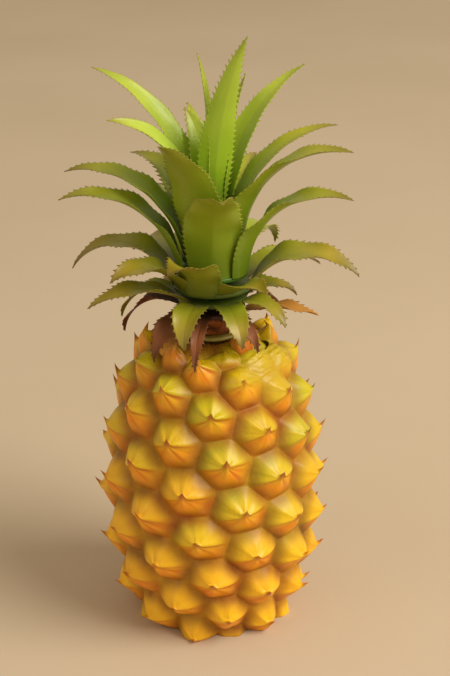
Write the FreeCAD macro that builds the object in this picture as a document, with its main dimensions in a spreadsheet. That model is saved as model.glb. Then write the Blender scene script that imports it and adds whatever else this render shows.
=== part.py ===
import FreeCAD, Part
import Sketcher
import math
import os
from FreeCAD import Vector

# An artificial pineapple for decoration, in millimetres, +Z up, standing on z = 0 with its axis on Z.
# A hollow moulded skin holds a foam core. The leafy crown is a stack of moulded rosettes threaded on a
# steel stem. The stem turns in a peg, and the peg pulls up out of a socket in the fruit's neck.

doc = FreeCAD.newDocument("ArtificialPineapple")
sheet = doc.addObject("Spreadsheet::Sheet", "Sizes")

# Driving dimensions: alias, value.
SIZES = [
    ("fruit_height", 157.0),       # floor to the highest spikes of the shoulder
    ("fruit_radius", 58.5),        # axis to the spike tips at the fruit's widest
    ("eye_depth", 8.0),            # spike tip down to the valley between eyes
    ("skin_wall", 2.4),            # moulded wall below the valleys
    ("skin_floor", 3.0),           # flat moulded bottom
    ("neck_radius", 17.5),         # opening that the crown stands in
    ("foot_radius", 30.0),         # round hole in the bottom
    ("foot_boss_radius", 8.0),     # boss on the foot that plugs into the foam
    ("foot_boss_height", 10.0),
    ("socket_radius", 11.0),       # outside of the socket tube
    ("socket_depth", 52.0),        # how deep the peg goes
    ("socket_flange", 3.0),        # thickness of the socket's flange
    ("peg_radius", 8.0),
    ("peg_flange_radius", 12.0),
    ("peg_flange", 4.0),
    ("rod_radius", 2.0),           # steel stem
    ("rod_grip", 44.0),            # length of stem inside the peg
    ("collar_radius", 15.5),       # pale cut ring below the stalk
    ("collar_height", 2.4),
    ("stalk_radius", 13.5),        # brown stalk between the collar and the leaves
    ("stalk_height", 9.3),
    ("hub_height", 2.6),           # disc in the middle of every rosette
    ("spacer_radius", 3.6),        # tubes that keep the rosettes apart
    ("leaf_thickness", 1.0),
    ("root_stagger", 1.35),        # every other leaf is rooted this much further out
    ("bud_height", 9.0),           # closed bud on top of the stem
    ("glue_gap", 0.05),            # between pieces glued or pushed together
    ("running_gap", 0.08),         # radial clearance of the peg and of the stem
    ("free_gap", 0.35),            # between faces that move past each other
]

# Rosettes from the lowest to the innermost: name, root radius, step up from the one below, bend power,
# root width as a share of the full width, and the leaves in order of azimuth:
# (azimuth, length, root angle, tip angle, sideways lean, width, twist towards the tip).
# Angles are in degrees; azimuth 0 is +X, 90 is the back. Leaf angles are above the horizontal.
ROSETTES = [
    ("dry_rosette", 15.0, 0.0, 0.9, 0.74, [
        (-128, 38, 30, -88, -10, 14, 0), (-101, 38, 24, -80, 2, 8, 0), (-58, 31, 30, -78, 8, 9, 0),
        (-16, 38, 20, -16, 4, 13, 0), (45, 42, 28, -78, 0, 11, 0), (105, 42, 28, -78, 5, 12, 0),
        (165, 43, 30, -84, -6, 12, 0)]),
    ("skirt_rosette", 16.0, 6.0, 0.9, 0.74, [
        (-150, 54, 40, -26, -6, 17, -10), (-112, 32, 25, -80, 12, 16, 0), (-70, 32, 24, -78, 4, 15, 0),
        (-36, 30, 32, -60, 4, 15, 0), (8, 30, 46, -50, 0, 14, 8), (62, 43, 30, -76, 0, 16, 0),
        (118, 43, 34, -76, 0, 16, 0), (168, 38, 30, -78, 0, 14, 0)]),
    ("low_rosette", 18.0, 6.0, 1.0, 0.6, [
        (-146, 46, 64, -32, -4, 22, -14), (-108, 44, 76, -12, -14, 26, -8),
        (-60, 34, 46, -12, 8, 20, 8), (-10, 63, 64, -46, -2, 22, 16), (36, 54, 30, -38, 0, 17, 8),
        (82, 56, 46, -50, 0, 20, 0), (128, 56, 50, -50, 0, 20, -8), (172, 64, 72, -60, 4, 19, -12)]),
    ("spread_rosette", 16.2, 7.0, 1.2, 0.74, [
        (-90, 74, 88, 4, 10, 30, 0), (-26, 78, 84, -16, 16, 25, 12), (48, 46, 72, -80, 4, 18, 6),
        (115, 64, 74, -30, 0, 20, -6), (188, 79, 78, -20, -4, 22, -12)]),
    ("middle_rosette", 13.2, 7.0, 1.3, 0.7, [
        (-112, 84, 84, 26, -6, 27, 0), (-32, 93, 87, -6, 18, 27, 14), (66, 62, 76, 0, 0, 19, 6),
        (124, 72, 76, -20, 0, 19, -8), (178, 81, 76, -18, -6, 22, -12)]),
    ("upper_rosette", 10.2, 7.0, 1.3, 0.6, [
        (8, 84, 84, 0, 4, 18, 12), (80, 62, 78, 5, 0, 18, 6), (142, 62, 80, -8, 0, 17, -10),
        (212, 46, 85, 60, 0, 15, 0)]),
    ("inner_rosette", 7.2, 6.0, 1.4, 0.5, [
        (50, 93, 84, 38, -36, 15, 6), (108, 66, 84, 28, 0, 15, 0), (160, 100, 84, 14, 2, 18, -16),
        (202, 80, 87, 8, -4, 22, -30)]),
    ("heart_rosette", 4.2, 6.0, 1.5, 0.42, [
        (-75, 93, 88, 81, 22, 18, 0), (20, 72, 88, 66, 8, 12, 6), (100, 56, 86, 52, 26, 18, 0),
        (185, 82, 98, 76, 0, 13, -30)]),
]

# The fruit's outline at the spike tips, from the neck down: (share of fruit_radius, share of fruit_height).
# It runs on below the floor, where it is cut off flat.
OUTLINE = [(0.12, 0.985), (0.32, 0.995), (0.50, 1.0), (0.66, 0.965), (0.79, 0.89), (0.92, 0.745),
           (1.0, 0.53), (1.0, 0.36), (0.92, 0.17), (0.80, 0.04), (0.76, 0.0), (0.70, -0.06), (0.62, -0.12)]
TOP_STATION = 2
FLOOR_STATION = 10

# Eyes follow a spiral: each is turned by this angle from the one above it.
EYE_TURN = math.radians(137.817)
FIRST_EYE_ANGLE = math.radians(-68.5)
FIRST_EYE = -9              # eyes are counted from one well in view, so the highest has a negative number
LAST_EYE = 77
EYES_ABOVE = 22.4           # eye steps from the outline's first point to eye 0
EYES_TO_FLOOR = 97.9        # and from its first point to the floor

# Shape of a leaf. Shares are of its length, from its root.
LEAF_SECTIONS = 9
LEAF_TIP = 0.97             # the leaf ends blunt at this share
BEND_STEPS = 8              # short steps along the bend between two sections
WIDEST = 0.34               # where the leaf is widest
TAPER_POWER = 1.6
LEAN_POWER = 1.5            # the sideways lean comes on towards the tip
THINNING = 0.4              # share of its thickness that the leaf has lost at its tip
CLASP_ROOM = 1.15           # least clasping radius, as a share of half the leaf's width
CHANNEL_BEND = 1.6          # radius of the open leaf's channel, as a share of half its width
OPEN_SHARE = 0.45           # where the leaf has opened from its clasp to its channel

STALK_WAIST = 0.9           # radius of the stalk's middle, as a share of its ends
BUD_BASE = 0.9              # radius of the bud's base and of its top, as shares of a spacer's
BUD_POINT = 0.25
BUD_SHOULDER = 0.4          # where the bud starts to close, as a share of its height
CAVITY_POINTS = 14          # points along the inside of the skin's wall
SAME_POINT = 5              # decimals at which two corners of eyes count as one


def fill_sheet():
    for row, (alias, value) in enumerate(SIZES, start=1):
        sheet.set("A%d" % row, alias)
        sheet.set("B%d" % row, str(value))
        sheet.setAlias("B%d" % row, alias)
    row = len(SIZES) + 1
    for name, radius, step, _, _, _ in ROSETTES:
        for suffix, value in (("root_radius", radius), ("step", step)):
            alias = name + "_" + suffix
            sheet.set("A%d" % row, alias)
            sheet.set("B%d" % row, str(value))
            sheet.setAlias("B%d" % row, alias)
            row += 1
    doc.recompute()


def size(alias):
    return float(sheet.get(alias))


# ---------------------------------------------------------------- heights that several pieces share

def neck_seat():
    """Top of the foam in the neck, which the socket's flange lies on."""
    return size("fruit_height") - size("eye_depth") - size("skin_wall")


def peg_top():
    return neck_seat() + size("socket_flange") + size("peg_flange")


def collar_bottom():
    return peg_top() + size("free_gap")


def stalk_top():
    return collar_bottom() + size("collar_height") + size("glue_gap") + size("stalk_height")


def hub_centres():
    """Middle height of each rosette's hub."""
    height = stalk_top() + size("glue_gap") + size("hub_height") / 2
    centres = []
    for name, _, _, _, _, _ in ROSETTES:
        height += size(name + "_step")
        centres.append(height)
    return centres


# ---------------------------------------------------------------- small helpers

def new_feature(label, shape):
    feature = doc.addObject("Part::Feature", label)
    feature.Label = label
    feature.Shape = shape
    feature.Placement = FreeCAD.Placement()
    return feature


def origin_plane(body, role):
    return next(part for part in body.Origin.OriginFeatures if part.Role == role)


def turned_body(label, outline):
    """A PartDesign body: a closed outline turned about Z.

    Each corner is a pair of formulas (radius, height), so it follows the sheet."""
    body = doc.addObject("PartDesign::Body", label)
    body.Label = label
    sketch = body.newObject("Sketcher::SketchObject", label + "_outline")
    sketch.AttachmentSupport = [(origin_plane(body, "XZ_Plane"), "")]
    sketch.MapMode = "FlatFace"
    for index in range(len(outline)):
        start = Vector(index + 1.0, index % 2, 0)
        end = Vector(index + 2.0, (index + 1) % 2, 0)
        sketch.addGeometry(Part.LineSegment(start, end), False)
    for index in range(len(outline)):
        following = (index + 1) % len(outline)
        sketch.addConstraint(corner_joint(index, following))
    for index, (radius, height) in enumerate(outline):
        place_corner(sketch, index, radius, height)
    turn = body.newObject("PartDesign::Revolution", label + "_turn")
    turn.Profile = sketch
    turn.ReferenceAxis = (sketch, ["V_Axis"])
    turn.Angle = 360.0
    doc.recompute()
    return body


def corner_joint(index, following):
    return Sketcher.Constraint("Coincident", index, 2, following, 1)


def place_corner(sketch, index, radius, height):
    for kind, formula in (("DistanceX", radius), ("DistanceY", height)):
        number = sketch.addConstraint(Sketcher.Constraint(kind, -1, 1, index, 1, 1.0))
        sketch.setExpression("Constraints[%d]" % number, formula)


def write(parts):
    os.makedirs("parts", exist_ok=True)
    for part in parts:
        part.Shape.exportStep("parts/%s.step" % part.Label)


# ---------------------------------------------------------------- the fruit

def outline_curve():
    radius = size("fruit_radius")
    height = size("fruit_height")
    stations = [Vector(r * radius, 0, z * height) for r, z in OUTLINE]
    curve = Part.BSplineCurve()
    curve.interpolate(stations)
    floor_station = stations[FLOOR_STATION]
    length = curve.length(curve.FirstParameter, curve.parameter(floor_station))
    return curve, length


def outline_place(curve, distance, depth):
    """(radius, height) at a distance along the outline, sunk by depth along its normal."""
    parameter = curve.parameterAtDistance(distance, curve.FirstParameter)
    place = curve.value(parameter)
    along = curve.tangent(parameter)[0]
    # the outline runs from the neck outward and down, so its outward normal is (-z, x)
    return place.x + along.z * depth, place.z - along.x * depth


def eye_point(curve, length, eye, angle, depth):
    """The point of the spiral at an eye number, which may be a fraction between two eyes."""
    distance = length * (eye + EYES_ABOVE) / EYES_TO_FLOOR
    radius, height = outline_place(curve, distance, depth)
    return Vector(radius * math.cos(angle), radius * math.sin(angle), height)


def valley_corner(curve, length, eyes):
    """The point in the valley midway between three neighbouring eyes."""
    first = eyes[0]
    turn = 0.0
    for eye in eyes:
        step = (first - eye) * EYE_TURN
        turn += step - 2 * math.pi * round(step / (2 * math.pi))
    middle = sum(eyes) / len(eyes)
    angle = FIRST_EYE_ANGLE - first * EYE_TURN + turn / len(eyes)
    return eye_point(curve, length, middle, angle, size("eye_depth"))


def eye_facets(curve, length):
    """Every eye is a six-sided pyramid: its tip and the six valley corners around it."""
    facets = []
    for eye in range(FIRST_EYE, LAST_EYE + 1):
        tip = eye_point(curve, length, eye, FIRST_EYE_ANGLE - eye * EYE_TURN, 0.0)
        around = [(eye, eye + 5, eye + 13), (eye - 8, eye, eye + 5), (eye - 13, eye - 8, eye),
                  (eye - 13, eye - 5, eye), (eye - 5, eye, eye + 8), (eye, eye + 8, eye + 13)]
        corners = [valley_corner(curve, length, eyes) for eyes in around]
        for index, corner in enumerate(corners):
            facets.append((tip, corner, corners[(index + 1) % len(corners)]))
    return facets


def close_ends(facets, high, low):
    """Fans from two axis points close the open rims left by the first and the last eyes."""
    def key(point):
        return tuple(round(value, SAME_POINT) for value in point)

    edges = {}
    for facet in facets:
        for index in range(3):
            start, end = facet[index], facet[(index + 1) % 3]
            name = frozenset((key(start), key(end)))
            edges.setdefault(name, []).append((start, end))
    fans = []
    for found in edges.values():
        if len(found) == 1:
            start, end = found[0]
            centre = high if start.z > size("fruit_height") / 2 else low
            fans.append((end, start, centre))
    return facets + fans


def eyed_solid():
    curve, length = outline_curve()
    facets = eye_facets(curve, length)
    high = Vector(0, 0, size("fruit_height") - size("eye_depth"))
    low = Vector(0, 0, -size("fruit_radius") / 2)
    faces = []
    for facet in close_ends(facets, high, low):
        faces.append(Part.Face(Part.makePolygon([facet[0], facet[1], facet[2], facet[0]])))
    shell = Part.makeShell(faces)
    solid = Part.makeSolid(shell)
    if solid.Volume < 0:
        solid.reverse()
    return solid


def cavity_solid(gap):
    """The hollow inside the skin, made smaller all round by a gap."""
    curve, length = outline_curve()
    depth = size("eye_depth") + size("skin_wall") + gap
    floor = size("skin_floor") + gap
    ceiling = neck_seat() - gap
    top_distance = curve.length(curve.FirstParameter, curve.parameter(curve_top(curve)))
    wall = []
    for index in range(1, CAVITY_POINTS + 1):
        distance = top_distance + (length - top_distance) * index / CAVITY_POINTS
        radius, height = outline_place(curve, distance, depth)
        if floor < height < ceiling:
            wall.append(Vector(radius, 0, height))
    top_radius = outline_place(curve, top_distance, depth)[0]
    side = Part.BSplineCurve()
    side.interpolate([Vector(top_radius, 0, ceiling)] + wall)
    foot = wall[-1]
    edges = [side.toShape(),
             Part.makeLine(foot, Vector(foot.x, 0, floor)),
             Part.makeLine(Vector(foot.x, 0, floor), Vector(0, 0, floor)),
             Part.makeLine(Vector(0, 0, floor), Vector(0, 0, ceiling)),
             Part.makeLine(Vector(0, 0, ceiling), Vector(top_radius, 0, ceiling))]
    face = Part.Face(Part.Wire(edges))
    return face.revolve(Vector(0, 0, 0), Vector(0, 0, 1), 360)


def curve_top(curve):
    """The outline's highest point."""
    radius, height = OUTLINE[TOP_STATION]
    return Vector(radius * size("fruit_radius"), 0, height * size("fruit_height"))


def fruit_skin():
    reach = size("fruit_height")
    below = Part.makeBox(2 * reach, 2 * reach, reach, Vector(-reach, -reach, -reach))
    neck = Part.makeCylinder(size("neck_radius"), reach, Vector(0, 0, neck_seat() - 1))
    foot = Part.makeCylinder(size("foot_radius"), 2 * size("skin_floor"),
                             Vector(0, 0, -size("skin_floor") / 2))
    skin = eyed_solid().cut(below).cut(cavity_solid(0.0)).cut(neck).cut(foot)
    return new_feature("fruit_skin", skin)


def foam_core():
    gap = size("glue_gap")
    core = cavity_solid(gap)
    bore = Part.makeCylinder(size("socket_radius") + gap, size("socket_depth") + gap,
                             Vector(0, 0, neck_seat() - size("socket_depth") - gap))
    boss = Part.makeCylinder(size("foot_boss_radius") + gap, size("foot_boss_height") + gap,
                             Vector(0, 0, size("skin_floor")))
    return new_feature("foam_core", core.cut(bore).cut(boss))


def base_foot():
    return turned_body("base_foot", [
        ("0 mm", "0 mm"),
        ("Sizes.foot_radius - Sizes.glue_gap", "0 mm"),
        ("Sizes.foot_radius - Sizes.glue_gap", "Sizes.skin_floor"),
        ("Sizes.foot_boss_radius", "Sizes.skin_floor"),
        ("Sizes.foot_boss_radius", "Sizes.skin_floor + Sizes.foot_boss_height"),
        ("0 mm", "Sizes.skin_floor + Sizes.foot_boss_height")])


# ---------------------------------------------------------------- socket, peg and stem

NECK_SEAT = "(Sizes.fruit_height - Sizes.eye_depth - Sizes.skin_wall)"
SOCKET_TOP = NECK_SEAT + " + Sizes.socket_flange"
PEG_TOP = SOCKET_TOP + " + Sizes.peg_flange"
COLLAR_BOTTOM = PEG_TOP + " + Sizes.free_gap"
COLLAR_TOP = COLLAR_BOTTOM + " + Sizes.collar_height"
STALK_BOTTOM = COLLAR_TOP + " + Sizes.glue_gap"
STALK_TOP = STALK_BOTTOM + " + Sizes.stalk_height"
SOCKET_BOTTOM = NECK_SEAT + " - Sizes.socket_depth"
ROD_BORE = "Sizes.rod_radius + Sizes.running_gap"
ROD_HOLE = "Sizes.rod_radius + Sizes.glue_gap"


def neck_socket():
    """A closed tube with a flange that lies on the foam inside the neck."""
    bore = "Sizes.peg_radius + Sizes.running_gap"
    floor = SOCKET_BOTTOM + " + Sizes.socket_flange"
    return turned_body("neck_socket", [
        ("0 mm", SOCKET_BOTTOM),
        ("Sizes.socket_radius", SOCKET_BOTTOM),
        ("Sizes.socket_radius", NECK_SEAT),
        ("Sizes.neck_radius - Sizes.glue_gap", NECK_SEAT),
        ("Sizes.neck_radius - Sizes.glue_gap", SOCKET_TOP),
        (bore, SOCKET_TOP),
        (bore, floor),
        ("0 mm", floor)])


def crown_peg():
    """The peg below the crown, with a blind bore that the stem turns in."""
    bottom = SOCKET_BOTTOM + " + Sizes.socket_flange + Sizes.free_gap"
    bore_floor = COLLAR_BOTTOM + " - Sizes.rod_grip - Sizes.free_gap"
    return turned_body("crown_peg", [
        ("0 mm", bottom),
        ("Sizes.peg_radius", bottom),
        ("Sizes.peg_radius", SOCKET_TOP),
        ("Sizes.peg_flange_radius", SOCKET_TOP),
        ("Sizes.peg_flange_radius", PEG_TOP),
        (ROD_BORE, PEG_TOP),
        (ROD_BORE, bore_floor),
        ("0 mm", bore_floor)])


def ring_body(label, outside, low, high):
    return turned_body(label, [
        (ROD_HOLE, low), (outside, low), (outside, high), (ROD_HOLE, high)])


def crown_collar():
    return ring_body("crown_collar", "Sizes.collar_radius", COLLAR_BOTTOM, COLLAR_TOP)


def crown_stalk():
    """A short brown stalk, a little waisted in the middle."""
    waist = "Sizes.stalk_radius * %g" % STALK_WAIST
    middle = STALK_BOTTOM + " + Sizes.stalk_height / 2"
    return turned_body("crown_stalk", [
        (ROD_HOLE, STALK_BOTTOM),
        ("Sizes.stalk_radius", STALK_BOTTOM),
        (waist, middle),
        ("Sizes.stalk_radius", STALK_TOP),
        (ROD_HOLE, STALK_TOP)])


def hub_formula(count):
    """Formula for the middle height of the hub of rosette number count."""
    steps = "".join(" + Sizes.%s_step" % name for name, _, _, _, _, _ in ROSETTES[:count + 1])
    return STALK_TOP + " + Sizes.glue_gap + Sizes.hub_height / 2" + steps


def stem_rod():
    top = hub_formula(len(ROSETTES) - 1) + " + Sizes.hub_height / 2 + Sizes.bud_height / 2"
    bottom = COLLAR_BOTTOM + " - Sizes.rod_grip"
    rod = doc.addObject("Part::Cylinder", "stem_rod")
    rod.Label = "stem_rod"
    rod.setExpression("Radius", "Sizes.rod_radius")
    rod.setExpression("Height", "(" + top + ") - (" + bottom + ")")
    rod.setExpression("Placement.Base.z", bottom)
    return rod


def spacers():
    tubes = []
    for count in range(len(ROSETTES) - 1):
        low = hub_formula(count) + " + Sizes.hub_height / 2 + Sizes.glue_gap"
        high = hub_formula(count + 1) + " - Sizes.hub_height / 2 - Sizes.glue_gap"
        tubes.append(ring_body("spacer_%d" % (count + 1), "Sizes.spacer_radius", low, high))
    return tubes


def heart_bud():
    """The closed bud that caps the stem."""
    hub_top = hub_formula(len(ROSETTES) - 1) + " + Sizes.hub_height / 2"
    low = hub_top + " + Sizes.glue_gap"
    shoulder = low + " + Sizes.bud_height * %g" % BUD_SHOULDER
    top = low + " + Sizes.bud_height"
    hole_top = hub_top + " + Sizes.bud_height / 2 + Sizes.glue_gap"
    base_radius = "Sizes.spacer_radius * %g" % BUD_BASE
    point_radius = "Sizes.spacer_radius * %g" % BUD_POINT
    return turned_body("heart_bud", [
        (ROD_HOLE, low), (base_radius, low), (base_radius, shoulder), (point_radius, top),
        ("0 mm", top), ("0 mm", hole_top), (ROD_HOLE, hole_top)])


# ---------------------------------------------------------------- rosettes

def leaf_frame(azimuth, climb, lean):
    """Unit vectors along the leaf, across it, and out of its upper face."""
    radial = Vector(math.cos(azimuth), math.sin(azimuth), 0)
    side = Vector(-math.sin(azimuth), math.cos(azimuth), 0)
    up = Vector(0, 0, 1)
    ahead = radial * math.cos(climb) + up * math.sin(climb)
    face = up * math.cos(climb) - radial * math.sin(climb)
    along = ahead * math.cos(lean) + side * math.sin(lean)
    across = side * math.cos(lean) - ahead * math.sin(lean)
    return along, across, face


def leaf_share(share, root_share):
    """Width of a leaf at a share of its length, as a share of its full width."""
    if share < WIDEST:
        return root_share + (1 - root_share) * math.sin(math.pi / 2 * share / WIDEST)
    return 1 - ((share - WIDEST) / (1 - WIDEST)) ** TAPER_POWER


def cup_curvature(half, root_radius, share):
    """The leaf clasps the stem at its root and opens to a shallow channel."""
    clasp = 1 / max(root_radius, half * CLASP_ROOM)
    channel = 1 / (half * CHANNEL_BEND)
    opening = min(share / OPEN_SHARE, 1.0)
    opening = opening * opening * (3 - 2 * opening)
    return clasp * (1 - opening) + channel * opening


def leaf_wire(place, across, face, half, curvature, thickness):
    """Closed crescent section: two arcs and two short ends."""
    turn = half * curvature
    out = math.sin(turn) / curvature
    rise = (1 - math.cos(turn)) / curvature
    lines = []
    for side in (-0.5, 0.5):
        shift = face * (thickness * side)
        left = place - across * out + face * rise + shift
        right = place + across * out + face * rise + shift
        lines.append((left, place + shift, right))
    under, upper = lines
    return Part.Wire([Part.Arc(*under).toShape(), Part.makeLine(under[2], upper[2]),
                      Part.Arc(upper[2], upper[1], upper[0]).toShape(), Part.makeLine(upper[0], under[0])])


def leaf_directions(leaf, power, share):
    """Along the leaf, across it, and out of its upper face, at a share of its length."""
    azimuth, _, root_angle, tip_angle, lean, _, twist = leaf
    climb = root_angle + (tip_angle - root_angle) * share ** power
    along, across, face = leaf_frame(math.radians(azimuth), math.radians(climb),
                                     math.radians(lean) * share ** LEAN_POWER)
    turn = math.radians(twist) * share
    return (along, across * math.cos(turn) + face * math.sin(turn),
            face * math.cos(turn) - across * math.sin(turn))


def leaf_solid(root_radius, root_height, power, root_share, leaf):
    azimuth, length, width = math.radians(leaf[0]), leaf[1], leaf[5]
    steps = LEAF_SECTIONS * BEND_STEPS
    place = Vector(root_radius * math.cos(azimuth), root_radius * math.sin(azimuth), root_height)
    wires = []
    for step in range(steps + 1):
        share = LEAF_TIP * step / steps
        if step % BEND_STEPS == 0:
            _, across, face = leaf_directions(leaf, power, share)
            half = width / 2 * leaf_share(share, root_share)
            curvature = cup_curvature(half, root_radius, share)
            thickness = size("leaf_thickness") * (1 - THINNING * share)
            wires.append(leaf_wire(place, across, face, half, curvature, thickness))
        middle = LEAF_TIP * (step + 0.5) / steps
        along = leaf_directions(leaf, power, middle)[0]
        place = place + along * (length * LEAF_TIP / steps)
    return Part.makeLoft(wires, True, True)


def rosette(count):
    name, _, _, power, root_share, leaves = ROSETTES[count]
    root_radius = size(name + "_root_radius")
    stagger = size("root_stagger")
    height = hub_centres()[count]
    thick = size("hub_height")
    hub_radius = root_radius + stagger + size("leaf_thickness") / 2
    hub = Part.makeCylinder(hub_radius, thick, Vector(0, 0, height - thick / 2))
    solids = []
    for index, leaf in enumerate(leaves):
        radius = root_radius + stagger * (index % 2)
        solids.append(leaf_solid(radius, height, power, root_share, leaf))
    hole = Part.makeCylinder(size("rod_radius") + size("glue_gap"), 3 * thick,
                             Vector(0, 0, height - 1.5 * thick))
    shape = hub.multiFuse(solids).cut(hole)
    return new_feature(name, shape)


# ---------------------------------------------------------------- build

def check(parts):
    for item in doc.Objects:
        if "Invalid" in item.State or "Error" in item.State:
            raise RuntimeError("%s failed: %s" % (item.Label, item.State))
    for part in parts:
        shape = part.Shape
        if shape.isNull() or not shape.isValid() or shape.Volume <= 0:
            raise RuntimeError("%s has no valid shape" % part.Label)
        print("%-16s solids %d volume %9.1f height %6.1f to %6.1f" % (
            part.Label, len(shape.Solids), shape.Volume, shape.BoundBox.ZMin, shape.BoundBox.ZMax))


fill_sheet()
PARTS = [fruit_skin(), foam_core(), base_foot(), neck_socket(), crown_peg(), crown_collar(), crown_stalk(),
         stem_rod(), heart_bud()]
PARTS += spacers()
PARTS += [rosette(count) for count in range(len(ROSETTES))]
doc.recompute()
check(PARTS)
write(PARTS)
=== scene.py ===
# %% [markdown]
# # A decorative pineapple
# The real thing is moulded plastic: a hollow fruit with raised eyes, and a crown of soft leaves threaded on a
# steel stem. The CAD frame already holds every piece at its true size. This file gives the pieces their
# looks: it keeps the CAD pieces whose shape is right, and stands finer meshes in for the skin and the leaves.

# %% Load the frame
import math
import random

import bmesh
import bpy
import numpy as np
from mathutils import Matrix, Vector


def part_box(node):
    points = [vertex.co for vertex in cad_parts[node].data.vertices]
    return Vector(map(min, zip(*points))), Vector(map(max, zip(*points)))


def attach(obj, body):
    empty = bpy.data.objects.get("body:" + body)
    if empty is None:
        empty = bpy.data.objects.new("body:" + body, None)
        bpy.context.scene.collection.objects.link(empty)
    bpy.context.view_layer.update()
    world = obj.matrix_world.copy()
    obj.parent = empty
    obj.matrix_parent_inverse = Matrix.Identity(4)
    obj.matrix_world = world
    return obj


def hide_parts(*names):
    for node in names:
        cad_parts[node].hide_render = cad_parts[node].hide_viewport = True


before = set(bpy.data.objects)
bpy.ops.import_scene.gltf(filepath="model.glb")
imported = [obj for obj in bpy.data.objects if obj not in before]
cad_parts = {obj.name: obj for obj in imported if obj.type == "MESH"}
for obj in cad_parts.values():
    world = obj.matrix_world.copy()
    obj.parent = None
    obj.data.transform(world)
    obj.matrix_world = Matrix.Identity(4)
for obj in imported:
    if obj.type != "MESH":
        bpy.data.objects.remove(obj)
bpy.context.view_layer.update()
MM = 0.001
WHOLE_TURN = 2 * math.pi

# %% [markdown]
# ## Camera
# The camera looks down on the fruit by about 22 degrees, from a little under a metre away, with a lens
# long enough to keep the sides of the fruit nearly parallel. The whole object and a little floor are in view.

# %% Camera
CAMERA_TILT = math.radians(21.7)
CAMERA_DISTANCE = 0.800
AIM = (0.0063, 0.0, 0.1503)

camera_data = bpy.data.cameras.new("camera")
camera_data.lens = 85.3
camera_data.sensor_width = 36.0
camera = bpy.data.objects.new("camera", camera_data)
camera.location = (AIM[0],
                   AIM[1] - CAMERA_DISTANCE * math.cos(CAMERA_TILT),
                   AIM[2] + CAMERA_DISTANCE * math.sin(CAMERA_TILT))
camera.rotation_euler = (math.pi / 2 - CAMERA_TILT, 0.0, 0.0)
bpy.context.collection.objects.link(camera)
bpy.context.scene.camera = camera
print("camera stands at", [round(v, 3) for v in camera.location])

# %% [markdown]
# ## Mesh helpers
# Most pieces here are sheets of quads laid out by formula, so one helper turns arrays of points and faces
# into an object. Paint masks ride along as point attributes, which a material reads by name. That keeps
# each mask next to the shape it belongs to, and needs no picture files.

# %% Mesh helpers
def make_object(name, points, faces, masks=None):
    """An object from points and faces, with one float attribute for each mask."""
    mesh = bpy.data.meshes.new(name)
    mesh.from_pydata([tuple(p) for p in points], [], [tuple(f) for f in faces])
    for mask, values in (masks or {}).items():
        attribute = mesh.attributes.new(mask, "FLOAT", "POINT")
        attribute.data.foreach_set("value", np.asarray(values, dtype=np.float32))
    mesh.polygons.foreach_set("use_smooth", [True] * len(mesh.polygons))
    mesh.update()
    thing = bpy.data.objects.new(name, mesh)
    bpy.context.collection.objects.link(thing)
    return thing


def tidy_mesh(thing, weld=1e-6):
    """Welds seams and turns every face outward."""
    shape = bmesh.new()
    shape.from_mesh(thing.data)
    bmesh.ops.remove_doubles(shape, verts=shape.verts, dist=weld)
    bmesh.ops.recalc_face_normals(shape, faces=shape.faces)
    shape.to_mesh(thing.data)
    shape.free()
    print(thing.name, "has", len(thing.data.vertices), "points")


def grid_faces(rows, columns, start=0, around=False):
    """Quads of a grid of points stored row by row; around joins the last column to the first."""
    faces = []
    last = columns if around else columns - 1
    for row in range(rows - 1):
        for column in range(last):
            following = (column + 1) % columns
            a = start + row * columns + column
            b = start + row * columns + following
            faces.append((a, b, b + columns, a + columns))
    return faces


def smooth_step(low, high, value):
    """0 at low, 1 at high, with a soft start and end; low may be the larger of the two."""
    share = np.clip((value - low) / (high - low), 0.0, 1.0)
    return share * share * (3 - 2 * share)


# %% [markdown]
# ## Material helpers
# Every finish here is moulded plastic with paint sprayed over it, so the same few effects come back in many
# materials: a blotchy colour drift, and a fine uneven surface. Each effect is a node group that gives out a
# value or a normal. The shader itself, and every constant, stays in the material.

# %% Colour and node helpers
def paint(red, green, blue):
    """A paint colour given as 0-255 values, turned into the linear values that shaders use."""
    def linear(value):
        share = value / 255
        return share / 12.92 if share <= 0.04045 else ((share + 0.055) / 1.055) ** 2.4
    return (linear(red), linear(green), linear(blue), 1.0)


def new_group(name, inputs, output, kind):
    """An empty node group with named number inputs and one output, and its entry and exit nodes."""
    group = bpy.data.node_groups.new(name, "ShaderNodeTree")
    for label, default in inputs:
        socket = group.interface.new_socket(name=label, in_out="INPUT", socket_type="NodeSocketFloat")
        socket.default_value = default
    group.interface.new_socket(name=output, in_out="OUTPUT", socket_type=kind)
    return group, group.nodes.new("NodeGroupInput"), group.nodes.new("NodeGroupOutput")


def wire(group, links):
    for source, target in links:
        group.links.new(source, target)


# %% Blotches group
def build_blotches():
    """Slow colour drift over the surface, from Low to High."""
    group, entry, leave = new_group(
        "Blotches", [("Scale", 40.0), ("Low", 0.0), ("High", 1.0)], "Value", "NodeSocketFloat")
    place = group.nodes.new("ShaderNodeTexCoord")
    noise = group.nodes.new("ShaderNodeTexNoise")
    noise.inputs["Detail"].default_value = 3.0
    spread = group.nodes.new("ShaderNodeMapRange")
    spread.inputs["From Min"].default_value = 0.3
    spread.inputs["From Max"].default_value = 0.7
    wire(group, [
        (place.outputs["Object"], noise.inputs["Vector"]),
        (entry.outputs["Scale"], noise.inputs["Scale"]),
        (noise.outputs["Fac"], spread.inputs["Value"]),
        (entry.outputs["Low"], spread.inputs["To Min"]),
        (entry.outputs["High"], spread.inputs["To Max"]),
        (spread.outputs["Result"], leave.inputs["Value"])])
    return group


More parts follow.
